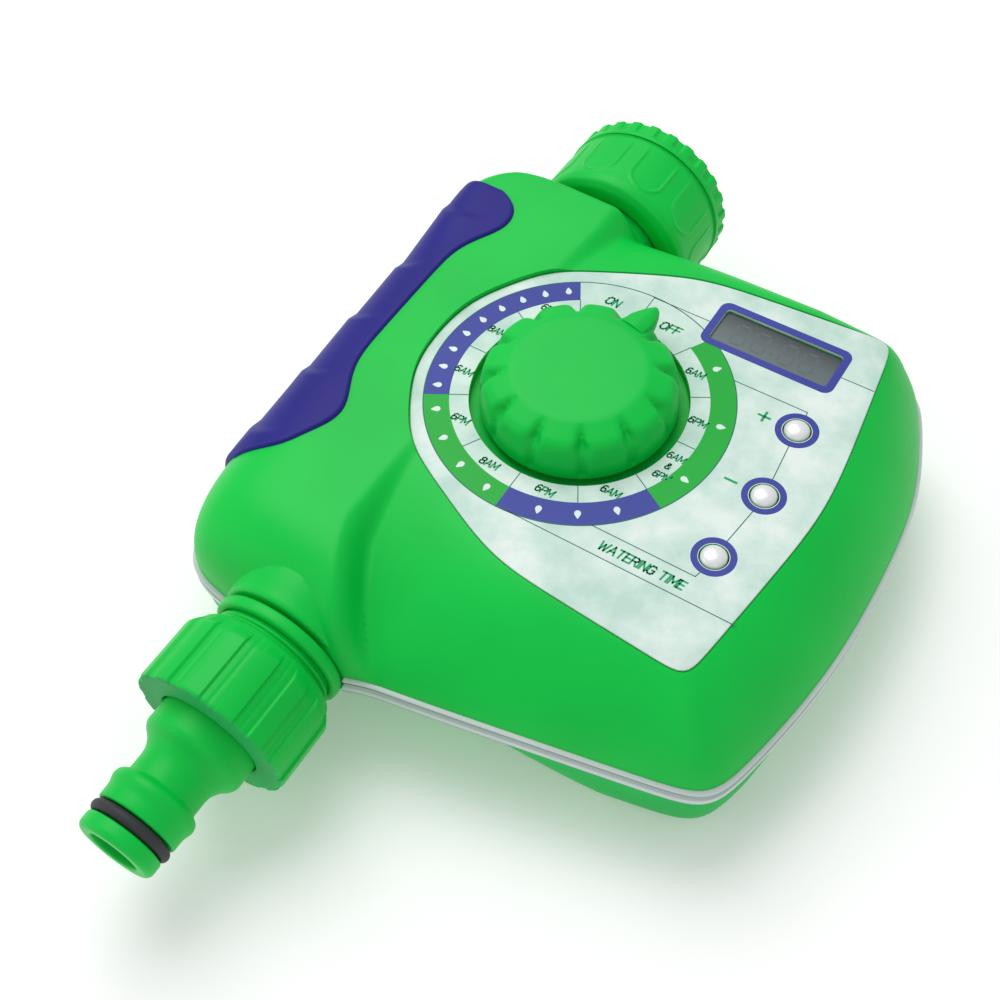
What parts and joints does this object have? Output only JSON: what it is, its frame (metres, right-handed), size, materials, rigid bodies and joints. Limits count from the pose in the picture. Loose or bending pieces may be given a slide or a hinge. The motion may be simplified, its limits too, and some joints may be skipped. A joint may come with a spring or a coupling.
{
  "type": "drip irrigation timer",
  "caption": "Battery water timer: green shell housing with a dial, display and push keys, beside a water pipe with a tap nut, a hose nipple and a motor-driven ball valve.",
  "frame": {"origin": "on the dial axis, at the flat back that the timer lies on", "axes": "+Z out of the dial, +Y along the water pipe towards the tap, +X from the dial towards the keys"},
  "size_m": [0.1239, 0.1904, 0.048],
  "materials": {
    "green_plastic": "bright green moulded plastic, satin gloss",
    "seal": "translucent grey-white elastomer seal",
    "label": "pale printed film with fine lines and numbers",
    "grip": "soft blue moulded grip",
    "steel": "bright steel",
    "white_plastic": "natural white engineering plastic",
    "black_plastic": "black moulded plastic",
    "display_glass": "grey display behind a clear window",
    "button_metal": "silver domed key caps",
    "circuit_board": "green circuit board",
    "brass": "turned brass",
    "rubber": "dark grey rubber",
    "gear_plate": "dark green moulded plastic",
    "battery": "plain metal-skinned cells"
  },
  "bodies": {
    "housing": {"front_housing": "green_plastic", "rear_housing": "green_plastic", "valve_tailpiece": "green_plastic", "hose_nipple": "green_plastic", "battery_cover": "green_plastic", "valve_body": "green_plastic", "seal_left": "seal", "seal_right": "seal", "face_label": "label", "grip_pad": "grip", "housing_screw_1": "steel", "housing_screw_2": "steel", "housing_screw_3": "steel", "housing_screw_4": "steel", "housing_screw_5": "steel", "housing_screw_6": "steel", "board_screw_1": "steel", "board_screw_2": "steel", "cover_screw": "steel", "drive_motor": "steel", "contact_link": "steel", "contact_spring": "steel", "contact_plate": "steel", "lcd_holder": "white_plastic", "valve_seat_inlet": "white_plastic", "valve_seat_outlet": "white_plastic", "rotary_switch": "black_plastic", "tact_switch_1": "black_plastic", "tact_switch_2": "black_plastic", "tact_switch_3": "black_plastic", "battery_tray": "black_plastic", "lcd_window": "display_glass", "lcd_module": "display_glass", "control_board": "circuit_board", "inlet_washer": "rubber", "outlet_washer": "rubber", "nipple_oring": "rubber", "battery_seal": "rubber", "gear_plate": "gear_plate", "battery_1": "battery", "battery_2": "battery"},
    "dial_knob": {"selector_knob": "green_plastic", "knob_shaft": "white_plastic"},
    "plus_key": {"button_plus": "button_metal"},
    "minus_key": {"button_minus": "button_metal"},
    "set_key": {"button_set": "button_metal"},
    "inlet_swivel": {"inlet_nut": "green_plastic", "tap_adapter": "green_plastic", "inlet_filter": "white_plastic"},
    "outlet_swivel": {"outlet_nut": "green_plastic"},
    "valve_drive": {"valve_ball": "steel", "valve_stem": "brass", "stem_oring": "rubber", "drive_gear": "white_plastic"},
    "idler": {"idler_gear": "white_plastic"},
    "motor_rotor": {"motor_pinion": "brass", "motor_shaft": "steel"}
  },
  "joints": [
    {"name": "dial_turn", "type": "hinge", "parent": "housing", "child": "dial_knob", "pos_m": [0, 0, 0.038], "axis": [0, 0, 1], "continuous": true},
    {"name": "plus_press", "type": "slide", "parent": "housing", "child": "plus_key", "axis": [0, 0, -1], "range_m": [0, 0.001], "stiffness_N_per_m": 900},
    {"name": "minus_press", "type": "slide", "parent": "housing", "child": "minus_key", "axis": [0, 0, -1], "range_m": [0, 0.001], "stiffness_N_per_m": 900},
    {"name": "set_press", "type": "slide", "parent": "housing", "child": "set_key", "axis": [0, 0, -1], "range_m": [0, 0.001], "stiffness_N_per_m": 900},
    {"name": "inlet_nut_turn", "type": "hinge", "parent": "housing", "child": "inlet_swivel", "pos_m": [-0.024, 0.06, 0.022], "axis": [0, 1, 0], "continuous": true},
    {"name": "outlet_nut_turn", "type": "hinge", "parent": "housing", "child": "outlet_swivel", "pos_m": [-0.024, -0.082, 0.022], "axis": [0, 1, 0], "continuous": true},
    {"name": "valve_turn", "type": "hinge", "parent": "housing", "child": "valve_drive", "pos_m": [-0.0086, 0, 0.022], "axis": [1, 0, 0], "range_deg": [0, 90]},
    {"name": "idler_turn", "type": "hinge", "parent": "housing", "child": "idler", "pos_m": [-0.0086, -0.01632, 0.01763], "axis": [1, 0, 0], "range_deg": [-120, 0]},
    {"name": "motor_turn", "type": "hinge", "parent": "housing", "child": "motor_rotor", "pos_m": [-0.0086, -0.02628, 0.01319], "axis": [1, 0, 0], "range_deg": [0, 240]}
  ],
  "couplings": [
    {"joint": "idler_turn", "follows": "valve_turn", "ratio": -1.3333},
    {"joint": "motor_turn", "follows": "valve_turn", "ratio": 2.6667}
  ]
}
